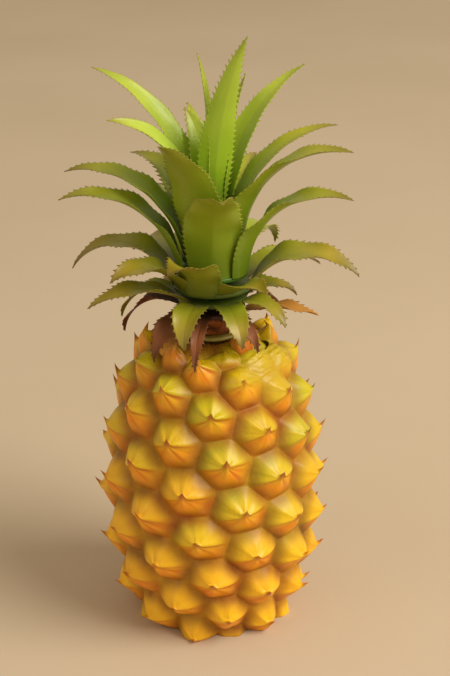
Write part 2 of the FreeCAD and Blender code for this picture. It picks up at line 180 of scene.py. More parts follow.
# %% Orange peel group
def build_orange_peel():
    """The fine unevenness of moulded plastic, as a normal."""
    group, entry, leave = new_group(
        "Orange Peel", [("Scale", 400.0), ("Strength", 0.2), ("Depth", 0.0002)], "Normal", "NodeSocketVector")
    place = group.nodes.new("ShaderNodeTexCoord")
    noise = group.nodes.new("ShaderNodeTexNoise")
    noise.inputs["Detail"].default_value = 4.0
    bump = group.nodes.new("ShaderNodeBump")
    wire(group, [
        (place.outputs["Object"], noise.inputs["Vector"]),
        (entry.outputs["Scale"], noise.inputs["Scale"]),
        (noise.outputs["Fac"], bump.inputs["Height"]),
        (entry.outputs["Strength"], bump.inputs["Strength"]),
        (entry.outputs["Depth"], bump.inputs["Distance"]),
        (bump.outputs["Normal"], leave.inputs["Normal"])])
    return group


BLOTCHES = build_blotches()
ORANGE_PEEL = build_orange_peel()
print("node groups:", [group.name for group in (BLOTCHES, ORANGE_PEEL)])


# %% Material builder
MIX_FIRST, MIX_SECOND, MIX_RESULT = 6, 7, 2     # where the Mix node keeps its colour sockets


class Finish:
    """A material under construction, with short calls for the nodes used most."""

    def __init__(self, name, roughness, **constants):
        self.material = bpy.data.materials.new(name)
        self.material.use_nodes = True
        self.tree = self.material.node_tree
        self.shader = self.tree.nodes["Principled BSDF"]
        self.shader.inputs["Roughness"].default_value = roughness
        for label, value in constants.items():
            self.shader.inputs[label.replace("_", " ")].default_value = value

    def node(self, kind, **settings):
        made = self.tree.nodes.new(kind)
        for label, value in settings.items():
            setattr(made, label, value)
        return made

    def link(self, source, target):
        self.tree.links.new(source, target)

    def feed(self, value, socket):
        """Sets a socket to a plain value, or links another node's output to it."""
        if isinstance(value, (float, int, tuple)):
            socket.default_value = value
        else:
            self.link(value, socket)

    def mask(self, name):
        return self.node("ShaderNodeAttribute", attribute_name=name).outputs["Fac"]

    def effect(self, group, **values):
        made = self.node("ShaderNodeGroup", node_tree=group)
        for label, value in values.items():
            made.inputs[label].default_value = value
        return made.outputs[0]

    def blotches(self, scale, low=0.0, high=1.0):
        return self.effect(BLOTCHES, Scale=scale, Low=low, High=high)

    def peel(self, scale, strength, depth):
        normal = self.effect(ORANGE_PEEL, Scale=scale, Strength=strength, Depth=depth)
        self.link(normal, self.shader.inputs["Normal"])

    def mix(self, share, first, second):
        """Mixes two colours; each may be a plain colour or another node's output."""
        made = self.node("ShaderNodeMix", data_type="RGBA")
        self.feed(share, made.inputs["Factor"])
        self.feed(first, made.inputs[MIX_FIRST])
        self.feed(second, made.inputs[MIX_SECOND])
        return made.outputs[MIX_RESULT]

    def combine(self, operation, first, second, clamp):
        made = self.node("ShaderNodeMath", operation=operation, use_clamp=clamp)
        self.feed(first, made.inputs[0])
        self.feed(second, made.inputs[1])
        return made.outputs[0]

    def times(self, first, second, clamp=True):
        return self.combine("MULTIPLY", first, second, clamp)

    def plus(self, first, second, clamp=True):
        return self.combine("ADD", first, second, clamp)

    def colour(self, source):
        self.link(source, self.shader.inputs["Base Color"])

    def roughness(self, source):
        self.link(source, self.shader.inputs["Roughness"])


# %% [markdown]
# ## The fruit's skin
# A pineapple's eyes sit on a spiral: every eye is turned by the golden angle from the last and drops a
# little. Counting along the spiral, the neighbours of an eye are the 5th, 8th and 13th before and after it,
# and the six meeting points around it make a hexagon. Each eye is modelled as its own patch of rings around
# its spike, so the mesh is finest where the spike is. Neighbouring patches share their hexagon's points
# exactly, so welding them gives one closed skin.

# %% Outline of the fruit
FRUIT_RADIUS = 58.5 * MM
FRUIT_HEIGHT = 157.0 * MM
OUTLINE = [(0.12, 0.985), (0.32, 0.995), (0.50, 1.0), (0.66, 0.965), (0.79, 0.89), (0.92, 0.745),
           (1.0, 0.53), (1.0, 0.36), (0.92, 0.17), (0.80, 0.04), (0.76, 0.0), (0.70, -0.06), (0.62, -0.12)]
FLOOR_STATION = 10


def smooth_outline(fine=40):
    """The outline as a dense smooth line, with the distance run at each of its points."""
    stations = np.array(OUTLINE) * [FRUIT_RADIUS, FRUIT_HEIGHT]
    padded = np.vstack([2 * stations[0] - stations[1], stations, 2 * stations[-1] - stations[-2]])
    line = []
    for index in range(1, len(padded) - 2):
        before, start, end, after = padded[index - 1:index + 3]
        for step in range(fine):
            t = step / fine
            line.append(0.5 * (2 * start + (end - before) * t
                               + (2 * before - 5 * start + 4 * end - after) * t ** 2
                               + (3 * start - before - 3 * end + after) * t ** 3))
    line = np.array(line)
    run = np.concatenate([[0.0], np.cumsum(np.hypot(*np.diff(line, axis=0).T))])
    return line, run, run[FLOOR_STATION * fine]


OUTLINE_LINE, OUTLINE_RUN, FLOOR_RUN = smooth_outline()
OUTLINE_SLOPE = np.gradient(OUTLINE_LINE, OUTLINE_RUN, axis=0)
print("outline length to the floor: %.1f mm" % (FLOOR_RUN / MM))


def skin_place(angle, run, lift, rise):
    """Points lifted off the outline by lift, and pushed up along it by rise; all arrays."""
    radius = np.interp(run, OUTLINE_RUN, OUTLINE_LINE[:, 0])
    height = np.interp(run, OUTLINE_RUN, OUTLINE_LINE[:, 1])
    along_r = np.interp(run, OUTLINE_RUN, OUTLINE_SLOPE[:, 0])
    along_z = np.interp(run, OUTLINE_RUN, OUTLINE_SLOPE[:, 1])
    radius = radius - along_z * lift - along_r * rise
    height = height + along_r * lift - along_z * rise
    return np.stack([radius * np.cos(angle), radius * np.sin(angle), height], axis=-1)


# %% The spiral of eyes
EYE_TURN = math.radians(137.817)
FIRST_EYE_ANGLE = math.radians(-68.5)
FIRST_EYE = -13             # the top eyes run in under the shoulder
LAST_EYE = 82               # the lowest eyes reach round to the flat bottom
EYES_ABOVE = 22.4           # eye steps from the start of the outline to eye 0
EYES_TO_FLOOR = 97.9        # eye steps from the start of the outline to the floor
EYE_STEP = FLOOR_RUN / EYES_TO_FLOOR
# Two neighbours meet the eye at each corner; each is given in steps along the spiral.
CORNERS = [(5, 13), (-8, 5), (-13, -8), (-13, -5), (-5, 8), (8, 13)]


def neighbour(steps):
    """How far around and down the neighbour that many steps along the spiral lies."""
    turn = -steps * EYE_TURN
    turn -= WHOLE_TURN * round(turn / WHOLE_TURN)
    return np.array([turn, steps * EYE_STEP])


HEXAGON = [(neighbour(first) + neighbour(second)) / 3 for first, second in CORNERS]
print("eye pitch: %.2f mm along the outline" % (EYE_STEP / MM))


# %% Shape of one eye
EDGE_STEPS = 9
RINGS = [0.0, 0.03, 0.065, 0.10, 0.14, 0.185, 0.24, 0.31, 0.39, 0.47, 0.55, 0.63, 0.71, 0.79, 0.86, 0.92,
         0.965, 1.0]
VALLEY_DEPTH = 9.2 * MM     # how far the valleys lie below the outline
DOME_RISE = 7.9 * MM
SPIKE_OUT = 3.4 * MM
SPIKE_UP = 4.8 * MM
ROUNDING = 12               # higher is a sharper hexagon
SPIKE_SHARE = 0.17          # the spike's foot as a share of the way to the eye's edge


def hexagon_edge():
    """Points once around the eye's edge, as offsets around and along the outline."""
    edge = []
    for index, corner in enumerate(HEXAGON):
        following = HEXAGON[(index + 1) % 6]
        for step in range(EDGE_STEPS):
            edge.append(corner + (following - corner) * step / EDGE_STEPS)
    return np.array(edge)


def rounded_reach(x, y, sides):
    """How far a point is towards the eye's edge, 0 to 1, with the corners rounded off."""
    reach = np.zeros_like(x)
    for (normal_x, normal_y), distance in sides:
        reach += np.maximum(0.0, (x * normal_x + y * normal_y) / distance) ** ROUNDING
    return reach ** (1 / ROUNDING)


def eye_sides(corners):
    """Outward normal and distance of each of the six sides."""
    sides = []
    for index in range(6):
        start, end = corners[index], corners[(index + 1) % 6]
        along = end - start
        normal = np.array([along[1], -along[0]]) / np.hypot(*along)
        distance = float(start @ normal)
        if distance < 0:
            normal, distance = -normal, -distance
        sides.append((normal, distance))
    return sides


def hump(value, centre, width):
    """A smooth hump, 1 at its centre."""
    return np.exp(-((value - centre) / width) ** 2)


# %% [markdown]
# ## Where the fruit changes
# The real fruit isn't the same all round: it is greener near the crown and nearly smooth on one shoulder,
# and the crown's shadow is painted brown around the neck. Painting that by hand would need a picture, so
# each change is a formula of a point's place. Neighbouring eyes then agree wherever they meet.

# %% Paint and calm by place
def about_axis(place):
    """Distance from the axis, and direction around it."""
    return np.hypot(place[..., 0], place[..., 1]), np.arctan2(place[..., 1], place[..., 0])


def facing(angle, direction):
    """1 on the side that faces a direction in degrees, and -1 on the far side."""
    return np.cos(angle - math.radians(direction))


def greenness(place, luck):
    """The green is strongest around the crown, on the side that faces front and right."""
    side = 0.5 + 0.5 * facing(about_axis(place)[1], -50)
    height = place[..., 2] / FRUIT_HEIGHT
    return np.clip(smooth_step(0.35, 1.0, height + 0.15 * side) * (0.45 + 0.5 * side) + luck, 0, 1)


def calmness(place):
    """1 where the shoulder stays nearly smooth: at the front right, and around the front of the neck."""
    radius, angle = about_axis(place)
    height = place[..., 2] / FRUIT_HEIGHT
    right = smooth_step(0.84, 0.92, height) * smooth_step(0.76, 0.92, facing(angle, -35))
    front = smooth_step(36 * MM, 30 * MM, radius) * smooth_step(0.84, 0.95, facing(angle, -76))
    return np.maximum(right, front * (height > 0.7))


def crown_shadow(place):
    """Painted shadow of the crown around the neck, left off the smooth right shoulder, which faces the light.
    """
    radius, angle = about_axis(place)
    away = smooth_step(0.9, 0.6, facing(angle, -30))
    return smooth_step(31 * MM, 22 * MM, radius) * away * (place[..., 2] > FRUIT_HEIGHT / 2)


def wrinkles(place):
    """Fine creases that run around the shoulder."""
    angle = about_axis(place)[1]
    height = place[..., 2] / MM
    return (np.sin(height * 1.9 + 2.2 * np.sin(angle * 7)) * np.sin(angle * 19 + height * 0.7)
            + 0.6 * np.sin(height * 3.3 + 3 * np.sin(angle * 5 + 1)))


# %% [markdown]
# ## One eye
# Each eye is a low pyramid with a spike that leans up. Its upper lobe ends in a lip, and its lower one is
# pleated. Copies of one sculpted eye would all look alike, so every eye is worked out by the same formulas
# with its own dice. The paint masks come from the same numbers, so the colour follows the folds, and so does
# the painted shade in the valleys, the grooves and under each lip.

# %% Relief of one eye
# Angles in degrees around the spike, from straight down.
GROOVES = (-76, -42, 38, 72)
RIDGES = (-125, 180, 125)
BRUSH_COUNTS = (7, 13, 23)  # how many brush marks go around the spike, in three sizes
FOLD_RISE = 0.5 * MM
GROOVE_DEPTH = 0.4 * MM
RIDGE_RISE = 0.7 * MM


def lip_relief(luck, above, sideways, upper, fade, reach, strength):
    """The upper lobe swells over the lower one and ends in a lip, stronger on the right."""
    lip = hump(above, 1.2, 1.3) * upper * smooth_step(0.92, 0.45, reach) * strength
    fold = hump(above, 0.4, 1.9) * fade * smooth_step(0.5, 3.0, np.abs(sideways))
    return lip * luck.uniform(0.0, 0.75) * MM + fold * FOLD_RISE


def pleat_relief(luck, fan, out, lower, fade, reach):
    """The lower lobe is pleated: a keel below the spike, with grooves beside it."""
    keel = np.clip(1 - np.abs(fan) / math.radians(40), 0, 1) * smooth_step(0.0, 3.0, out)
    lift = lower * fade * keel * luck.uniform(0.4, 1.1) * MM
    lift -= lower * fade * luck.uniform(0.1, 0.6) * MM
    groove = np.zeros_like(fan)
    for start in GROOVES:
        centre = math.radians(start + luck.uniform(-8, 8))
        groove += hump(fan, centre, math.radians(8)) * luck.uniform(0.2, 1.0)
    groove *= lower * smooth_step(0.9, 2.2, out) * smooth_step(0.9, 0.45, reach)
    return lift - groove * GROOVE_DEPTH, groove


def ridge_relief(luck, fan, out, upper, fade):
    """Three ridges run up from the spike over the upper lobe."""
    lift = np.zeros_like(fan)
    for start in RIDGES:
        centre = math.radians(start + luck.uniform(-12, 12))
        gap = np.abs((fan - centre + math.pi) % WHOLE_TURN - math.pi)
        lift += np.clip(1 - gap / math.radians(34), 0, 1)
    return lift * upper * fade * smooth_step(0.5, 3.0, out) * RIDGE_RISE


def brush_marks(luck, fan):
    """Faint marks that fan out from the spike."""
    phases = [luck.uniform(0, WHOLE_TURN) for _ in BRUSH_COUNTS]
    return sum(np.sin(fan * count + phase) for count, phase in zip(BRUSH_COUNTS, phases)) / len(phases)


# %% One eye
EYE_SEED = 1000             # each eye's dice start from this plus its place on the spiral
BRUSH_RISE = 0.14 * MM
SPIKE_POWER = 1.5           # higher is a thinner spike
CALM_RISE = 2.4 * MM        # how far the smooth shoulder stands above the valleys
WRINKLE_RISE = 0.34 * MM


def eye_patch(eye):
    """Points and paint masks of one eye, ring by ring from its spike to its edge."""
    luck = random.Random(EYE_SEED + eye)
    centre_angle = FIRST_EYE_ANGLE - eye * EYE_TURN
    centre_run = (eye + EYES_ABOVE) * EYE_STEP
    radius = np.interp(centre_run, OUTLINE_RUN, OUTLINE_LINE[:, 0]) - VALLEY_DEPTH / 2
    edge = hexagon_edge()
    spike = np.array([luck.uniform(-1.3, 1.3) * MM / radius, luck.uniform(-1.0, 1.0) * MM])
    ring = np.array(RINGS)[:, None]
    around = spike[0] + ring * (edge[:, 0] - spike[0])
    down = spike[1] + ring * (edge[:, 1] - spike[1])

    # in millimetres on the surface: x to the right, y up, and then both from the spike
    x = around * radius / MM
    y = -down / MM
    corners = [np.array([c[0] * radius, -c[1]]) / MM for c in HEXAGON]
    reach = rounded_reach(x, y, eye_sides(corners))
    sideways = x - spike[0] * radius / MM
    upward = y + spike[1] / MM
    droop = np.where(sideways > 0, luck.uniform(0.0, 0.28), luck.uniform(0.08, 0.36))
    above = upward + droop * np.abs(sideways) - 0.10 * sideways
    fan = np.arctan2(sideways, -upward)
    out = np.hypot(sideways, upward)
    upper = smooth_step(-0.7, 1.0, above)
    lower = 1 - upper
    fade = smooth_step(1.0, 0.55, reach)

    # a soft pyramid with a slightly rounded top; the lowest eyes have the faintest folds
    flat = np.clip(reach, 0, 1)
    lift = (0.86 * (1 - flat ** 1.1) + 0.14 * (1 - flat ** 2.2)) * DOME_RISE
    strength = 0.45 + 0.55 * smooth_step(-2.0, 4.0, sideways)
    strength *= 0.4 + 0.6 * smooth_step(0.95, 0.55, centre_run / FLOOR_RUN)
    lift += lip_relief(luck, above, sideways, upper, fade, reach, strength)
    pleats, groove = pleat_relief(luck, fan, out, lower, fade, reach)
    lift += pleats + ridge_relief(luck, fan, out, upper, fade)
    ray = brush_marks(luck, fan)
    lift += ray * fade * smooth_step(1.0, 3.0, out) * BRUSH_RISE

    # the spike leans up over the upper lobe
    size = luck.uniform(0.7, 1.15)
    point = np.clip(1 - ring / SPIKE_SHARE, 0, 1) ** SPIKE_POWER * np.ones_like(x)
    lift += point * SPIKE_OUT * size
    rise = point * SPIKE_UP * size
    sway = point * luck.uniform(-0.9, 0.9) * MM / radius

    # the relief gives way to the smooth shoulder, and to the flat bottom below the floor line
    ground = skin_place(centre_angle + around, centre_run + down, -VALLEY_DEPTH / 2, 0)
    calm = calmness(ground)
    lift = lift * (1 - 0.7 * calm) + calm * (CALM_RISE + WRINKLE_RISE * wrinkles(ground))
    bottom = smooth_step(FLOOR_RUN + 7 * MM, FLOOR_RUN + 2 * MM, centre_run + down)
    points = skin_place(centre_angle + around + sway, centre_run + down, lift * bottom - VALLEY_DEPTH,
                        rise * (1 - calm) * bottom)

    ripe = luck.uniform(0.0, 1.0)
    green_edge = (upper * smooth_step(0.35, 0.9, reach) * smooth_step(4.0, -5.0, sideways)
                  * smooth_step(0.0, 0.5, points[..., 2] / FRUIT_HEIGHT))
    # painted shade in the pleat grooves and in the shadow line just under the lip
    lip_and_groove_shade = np.clip(groove * 0.8 + hump(above, -0.2, 0.5) * fade * strength, 0, 1)
    masks = {
        # painted shade: olive brown in the valleys between the eyes, and the crown's painted shadow around
        # the neck
        "painted_shade": np.maximum(smooth_step(0.42, 0.95, reach) * (1 - 0.8 * calm), crown_shadow(ground)),
        # orange on the lower lobe: partly the fruit's own colour, partly painted shade on the faces that turn
        # down
        "lower": smooth_step(1.4, -3.2, above + 0.8 * ray) * (1 - 0.85 * calm),
        "spike": smooth_step(0.0, 0.6, point) * (1 - calm),
        "crease_shade": lip_and_groove_shade * (1 - 0.9 * calm),
        "ray": (0.5 + 0.5 * ray) * smooth_step(0.6, 2.5, out) * (1 - calm),
        "ripe": ripe + 0 * x,
        "green": np.clip(greenness(points, luck.uniform(-0.15, 0.15)) + 0.5 * green_edge + 0.35 * calm, 0, 1),
    }
    return points, masks


# %% Sew the eyes together
NECK_RADIUS = 17.5 * MM
FOOT_ROOM = 30.1 * MM       # the foot stands inside this radius


def scale_radius(points, scale):
    points[:, 0] *= scale
    points[:, 1] *= scale


def build_skin():
    points, faces = [], []
    masks = {name: [] for name in ("painted_shade", "lower", "spike", "crease_shade", "ray", "ripe", "green")}
    columns = EDGE_STEPS * 6
    for count, eye in enumerate(range(FIRST_EYE, LAST_EYE + 1)):
        patch, paints = eye_patch(eye)
        start = count * len(RINGS) * columns
        points.append(patch.reshape(-1, 3))
        faces += grid_faces(len(RINGS), columns, start, around=True)
        for name in masks:
            masks[name].append(np.broadcast_to(paints[name], patch.shape[:2]).ravel())
    points = np.vstack(points)
    # the neck's edge turns down
    radius = about_axis(points)[0]
    inside = np.clip(NECK_RADIUS - radius, 0, None) * (points[:, 2] > FRUIT_HEIGHT / 2)
    scale_radius(points, np.where(inside > 0, NECK_RADIUS / np.maximum(radius, MM), 1.0))
    points[:, 2] -= inside * 1.5
    # the bottom is flat, and stays outside the foot
    radius = about_axis(points)[0]
    room = np.maximum(radius, FOOT_ROOM) / np.maximum(radius, MM)
    scale_radius(points, np.where(points[:, 2] < 0, room, 1.0))
    points[:, 2] = np.maximum(points[:, 2], 0.0)
    skin = make_object("moulded_skin", points, faces, {n: np.concatenate(v) for n, v in masks.items()})
    tidy_mesh(skin, weld=2e-6)
    return skin


moulded_skin = build_skin()

# %% [markdown]
# ## Turned pieces
# The hubs, the cut collar, the stalk and the bud are all round. A profile of a few corners is smoothed and
# swept around the stem. A wobble function can push each point in or out, which makes fibres, scales and
# ragged edges without leaving the turned shape.

# %% Lathe helper
def rounded_profile(corners, fine=5, corner_share=0.3):
    """Cuts each corner of a closed profile and fills it with a short arc."""
    corners = np.array(corners, dtype=float)
    count = len(corners)
    line = []
    for index in range(count):
        before, here, after = corners[index - 1], corners[index], corners[(index + 1) % count]
        start = here + (before - here) * corner_share
        end = here + (after - here) * corner_share
        for step in range(fine):
            t = step / (fine - 1)
            line.append((1 - t) ** 2 * start + 2 * t * (1 - t) * here + t ** 2 * end)
    return np.array(line)


def turned(name, corners, around=96, fine=5, corner_share=0.3, wobble=None, masks=None):
    """A closed ring turned from (radius, height) corners given in millimetres."""
    profile = rounded_profile(corners, fine, corner_share) * MM
    angle = np.linspace(0, WHOLE_TURN, around, endpoint=False)[None, :] + np.zeros((len(profile), 1))
    radius = profile[:, 0][:, None] + np.zeros_like(angle)
    height = profile[:, 1][:, None] + np.zeros_like(angle)
    if wobble:
        radius, height = wobble(angle, radius, height)

    def closed(rows):
        return np.concatenate([rows, rows[:1]])

    points = closed(np.stack([radius * np.cos(angle), radius * np.sin(angle), height], axis=-1))
    values = {mask: closed(share(angle, radius, height)).ravel() for mask, share in (masks or {}).items()}
    faces = grid_faces(len(profile) + 1, around, around=True)
    thing = make_object(name, points.reshape(-1, 3), faces, values)
    tidy_mesh(thing, weld=1e-7)
    return thing


# %% [markdown]
# ## Leaves
# Each leaf is a soft moulded blade: it clasps the stem at its root, opens into a shallow channel, bends
# over and ends in a point, and small thorns lean forward along both edges. A leaf is laid out in short
# steps along its bend, four steps to a thorn, so that every fourth step can pull its edge points out.
# Both faces are modelled, so the blade has a real thickness that thins towards its edges.

# %% Leaf table
# name: root radius, step up from the rosette below, bend power, root width share, leaves
# leaf: azimuth, length, root angle, tip angle, sideways lean, width, twist (degrees and millimetres)
ROSETTES = {
    "dry_rosette": (15.0, 0.0, 0.9, 0.74, [
        (-128, 38, 30, -88, -10, 14, 0), (-101, 38, 24, -80, 2, 8, 0), (-58, 31, 30, -78, 8, 9, 0),
        (-16, 38, 20, -16, 4, 13, 0), (45, 42, 28, -78, 0, 11, 0), (105, 42, 28, -78, 5, 12, 0),
        (165, 43, 30, -84, -6, 12, 0)]),
    "skirt_rosette": (16.0, 6.0, 0.9, 0.74, [
        (-150, 54, 40, -26, -6, 17, -10), (-112, 32, 25, -80, 12, 16, 0), (-70, 32, 24, -78, 4, 15, 0),
        (-36, 30, 32, -60, 4, 15, 0), (8, 30, 46, -50, 0, 14, 8), (62, 43, 30, -76, 0, 16, 0),
        (118, 43, 34, -76, 0, 16, 0), (168, 38, 30, -78, 0, 14, 0)]),
    "low_rosette": (18.0, 6.0, 1.0, 0.6, [
        (-146, 46, 64, -32, -4, 22, -14), (-108, 44, 76, -12, -14, 26, -8),
        (-60, 34, 46, -12, 8, 20, 8), (-10, 63, 64, -46, -2, 22, 16), (36, 54, 30, -38, 0, 17, 8),
        (82, 56, 46, -50, 0, 20, 0), (128, 56, 50, -50, 0, 20, -8), (172, 64, 72, -60, 4, 19, -12)]),
    "spread_rosette": (16.2, 7.0, 1.2, 0.74, [
        (-90, 74, 88, 4, 10, 30, 0), (-26, 78, 84, -16, 16, 25, 12), (48, 46, 72, -80, 4, 18, 6),
        (115, 64, 74, -30, 0, 20, -6), (188, 79, 78, -20, -4, 22, -12)]),
    "middle_rosette": (13.2, 7.0, 1.3, 0.7, [
        (-112, 84, 84, 26, -6, 27, 0), (-32, 93, 87, -6, 18, 27, 14), (66, 62, 76, 0, 0, 19, 6),
        (124, 72, 76, -20, 0, 19, -8), (178, 81, 76, -18, -6, 22, -12)]),
    "upper_rosette": (10.2, 7.0, 1.3, 0.6, [
        (8, 84, 84, 0, 4, 18, 12), (80, 62, 78, 5, 0, 18, 6), (142, 62, 80, -8, 0, 17, -10),
        (212, 46, 85, 60, 0, 15, 0)]),
    "inner_rosette": (7.2, 6.0, 1.4, 0.5, [
        (50, 93, 84, 38, -36, 15, 6), (108, 66, 84, 28, 0, 15, 0), (160, 100, 84, 14, 2, 18, -16),
        (202, 80, 87, 8, -4, 22, -30)]),
    "heart_rosette": (4.2, 6.0, 1.5, 0.42, [
        (-75, 93, 88, 81, 22, 18, 0), (20, 72, 88, 66, 8, 12, 6), (100, 56, 86, 52, 26, 18, 0),
        (185, 82, 98, 76, 0, 13, -30)]),
}
# how far the edges of each rosette's leaves wave and roll
CURL = {"dry_rosette": 2.6, "skirt_rosette": 1.3, "low_rosette": 1.2, "spread_rosette": 0.8,
        "middle_rosette": 0.6, "upper_rosette": 0.5, "inner_rosette": 0.4, "heart_rosette": 0.3}
PALE_DRY_LEAF = -16         # azimuth of the dry leaf that has faded to straw
LOWEST_HUB = 167.05
ROOT_STAGGER = 1.35         # every other leaf is rooted this much further out
LEAF_THICKNESS = 1.0
HUB_HEIGHT = 2.6
ROD_HOLE = 2.05
print("leaves:", sum(len(row[4]) for row in ROSETTES.values()))

# %% Leaf bend
LEAN_POWER = 1.5            # higher keeps the sideways lean nearer the tip
TOOTH_PITCH = 2.7           # millimetres between thorns
TOOTH_STEPS = 4
COLUMNS = np.array([-1, -0.94, -0.82, -0.62, -0.4, -0.2, -0.07, 0, 0.07, 0.2, 0.4, 0.62, 0.82, 0.94, 1])


def leaf_frames(azimuth, climb, lean):
    """Unit vectors along the leaf, across it, and out of its upper face, one row for each step."""
    radial = np.array([math.cos(azimuth), math.sin(azimuth), 0])
    side = np.array([-math.sin(azimuth), math.cos(azimuth), 0])
    up = np.array([0, 0, 1])
    climb, lean = climb[:, None], lean[:, None]
    ahead = radial * np.cos(climb) + up * np.sin(climb)
    face = up * np.cos(climb) - radial * np.sin(climb)
    along = ahead * np.cos(lean) + side * np.sin(lean)
    across = side * np.cos(lean) - ahead * np.sin(lean)
    return along, across, face


def leaf_bend(root_radius, root_height, power, leaf, steps):
    """The leaf's middle line, and the directions across it and out of its face."""
    azimuth, length, root_angle, tip_angle, lean, _, twist = leaf
    azimuth, root_angle, tip_angle, lean, twist = map(
        math.radians, (azimuth, root_angle, tip_angle, lean, twist))

    def frames(share):
        climb = root_angle + (tip_angle - root_angle) * share ** power
        return leaf_frames(azimuth, climb, lean * share ** LEAN_POWER)

    share = np.linspace(0, 1, steps + 1)
    middle = (share[1:] + share[:-1]) / 2
    root = np.array([root_radius * math.cos(azimuth), root_radius * math.sin(azimuth), root_height])
    run = frames(middle)[0] * length / steps
    places = root + np.vstack([np.zeros(3), np.cumsum(run, axis=0)])
    along, across, face = frames(share)
    turn = (twist * share)[:, None]
    return (share, places, along, across * np.cos(turn) + face * np.sin(turn),
            face * np.cos(turn) - across * np.sin(turn))


# %% Leaf thorns
THORN_LENGTH = 1.5


def leaf_thorns(luck, share, half, along, across):
    """How far each point is pulled out and forward: one edge point in four ends in a thorn."""
    thorn = np.zeros((len(share), len(COLUMNS), 3))
    for column, sign, start in ((0, -1, 3), (-1, 1, 2)):
        for step in range(TOOTH_STEPS + start, len(share) - 2, TOOTH_STEPS):
            size = THORN_LENGTH * luck.uniform(0.65, 1.15) * smooth_step(0.04, 0.2, share[step])
            size *= min(1.0, 0.45 + float(half[step, 0]) / 6)
            thorn[step, column] = size * (across[step] * sign * 0.9 + along[step] * 0.75)
    return thorn


# %% Leaf section
WIDEST = 0.34               # where along its length a leaf is widest
TAPER_POWER = 1.6
LEAST_HALF_WIDTH = 0.12
OPEN_SHARE = 0.45           # where along its length a leaf has let go of the stem
CLASP_ROOM = 1.15           # higher clasps the stem less tightly
CHANNEL_BEND = 1.6          # higher is a shallower channel


def leaf_width_share(share, root_share):
    grow = root_share + (1 - root_share) * np.sin(math.pi / 2 * np.minimum(share / WIDEST, 1))
    taper = np.clip((share - WIDEST) / (1 - WIDEST), 0, 1)
    return grow * (1 - taper ** TAPER_POWER)


def both_faces(upper, lower):
    """Columns of the upper face, then those of the lower face on the way back."""
    return np.concatenate([upper, lower[:, ::-1]], axis=1)


def leaf_points(root_radius, root_height, power, root_share, leaf, luck, curl):
    """Points and masks of one leaf: one loop around its section for each step, upper face first."""
    length, width = leaf[1], leaf[5]
    steps = int(length / TOOTH_PITCH) * TOOTH_STEPS
    share, places, along, across, face = leaf_bend(root_radius, root_height, power, leaf, steps)
    s = share[:, None]
    u = COLUMNS[None, :]
    half = np.maximum(width / 2 * leaf_width_share(s, root_share), LEAST_HALF_WIDTH)
    opening = smooth_step(0, OPEN_SHARE, s)
    bend = ((1 - opening) / max(root_radius, width / 2 * CLASP_ROOM)
            + opening / np.maximum(half * CHANNEL_BEND, 1.0))
    turn = half * u * bend
    out = np.sin(turn) / bend
    rise = (1 - np.cos(turn)) / bend
    # a pressed middle line, and edges that wave a little
    rise -= 0.45 * hump(u, 0, 0.10) * smooth_step(0.08, 0.3, s) * (1 - s)
    period = luck.uniform(16, 24)
    for sign in (-1, 1):
        phase = luck.uniform(0, WHOLE_TURN)
        edge = np.clip(sign * u, 0, 1) ** 2 * smooth_step(0.1, 0.4, s) * half / 10
        rise += edge * curl * np.sin(WHOLE_TURN * s * length / period + phase)
    # the more a leaf curls, the more its tip rolls up
    rise += curl * 0.25 * np.abs(u) * half * smooth_step(0.7, 1.0, s)

    normal = face[:, None, :] * np.cos(turn)[..., None] - across[:, None, :] * np.sin(turn)[..., None]
    skin = places[:, None, :] + across[:, None, :] * out[..., None] + face[:, None, :] * rise[..., None]
    thick = LEAF_THICKNESS * (1 - 0.45 * s) * (0.32 + 0.68 * (1 - u ** 2))
    shift = normal * (thick / 2)[..., None]
    thorn = leaf_thorns(luck, share, half, along, across)
    loop = both_faces(skin + thorn + shift, skin + thorn - shift)

    wide = np.broadcast_to(u, out.shape)
    sharp = np.linalg.norm(thorn, axis=2)
    masks = {
        "along": np.broadcast_to(s, loop.shape[:2]),
        "across": both_faces(wide, wide),
        "under": both_faces(0 * wide, 0 * wide + 1),
        "tint": np.full(loop.shape[:2], luck.uniform(0, 1)),
        "thorn": both_faces(sharp, sharp),
    }
    return loop, masks


# %% Rosettes
def hub_height(name):
    """Rosettes are stacked, so the height of a hub is the sum of the steps up to it."""
    names = list(ROSETTES)
    return LOWEST_HUB + sum(ROSETTES[other][1] for other in names[:names.index(name) + 1])


def cap_faces(start, columns):
    """Quads that close one end of a leaf: each joins the upper face to the lower one."""
    faces = []
    for column in range(columns // 2 - 1):
        quad = (column, column + 1, columns - 2 - column, columns - 1 - column)
        faces.append(tuple(start + corner for corner in quad))
    return faces


